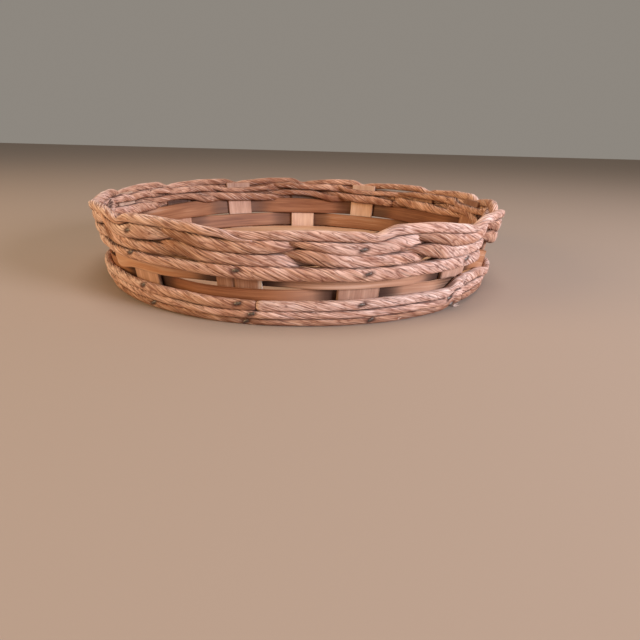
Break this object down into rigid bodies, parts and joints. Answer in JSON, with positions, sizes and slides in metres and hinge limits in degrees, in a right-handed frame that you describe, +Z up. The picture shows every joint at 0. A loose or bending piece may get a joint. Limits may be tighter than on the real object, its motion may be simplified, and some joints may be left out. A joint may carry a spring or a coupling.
{
  "type": "casserole carrier basket",
  "caption": "Shallow round basket with a flat base board, upright splint stakes, a woven flat splint band and twined twisted paper cord up to a wavy rim, to carry a round casserole dish.",
  "frame": {"origin": "middle of the underside of the base board, on the surface that the basket stands on", "axes": "+Z up the wall; the front of the picture faces -Y, midway between stake_02 and stake_03; +X to the right"},
  "size_m": [0.2608, 0.26, 0.0486],
  "materials": {
    "base_board": "satin",
    "splint_stake": "matte",
    "splint_weaver": "matte",
    "paper_cord": "matte"
  },
  "bodies": {
    "root": {"base_board": "base_board", "stake_01": "splint_stake", "stake_02": "splint_stake", "stake_03": "splint_stake", "stake_04": "splint_stake", "stake_05": "splint_stake", "stake_06": "splint_stake", "stake_07": "splint_stake", "stake_08": "splint_stake", "stake_09": "splint_stake", "stake_10": "splint_stake", "stake_11": "splint_stake", "stake_12": "splint_stake", "stake_13": "splint_stake", "splint_weaver": "splint_weaver", "lower_cord_1": "paper_cord", "lower_cord_2": "paper_cord", "lower_cord_3": "paper_cord", "band_cord": "paper_cord", "lower_twine_a": "paper_cord", "lower_twine_b": "paper_cord", "upper_twine_a": "paper_cord", "upper_twine_b": "paper_cord", "rim_cord": "paper_cord"}
  },
  "joints": []
}
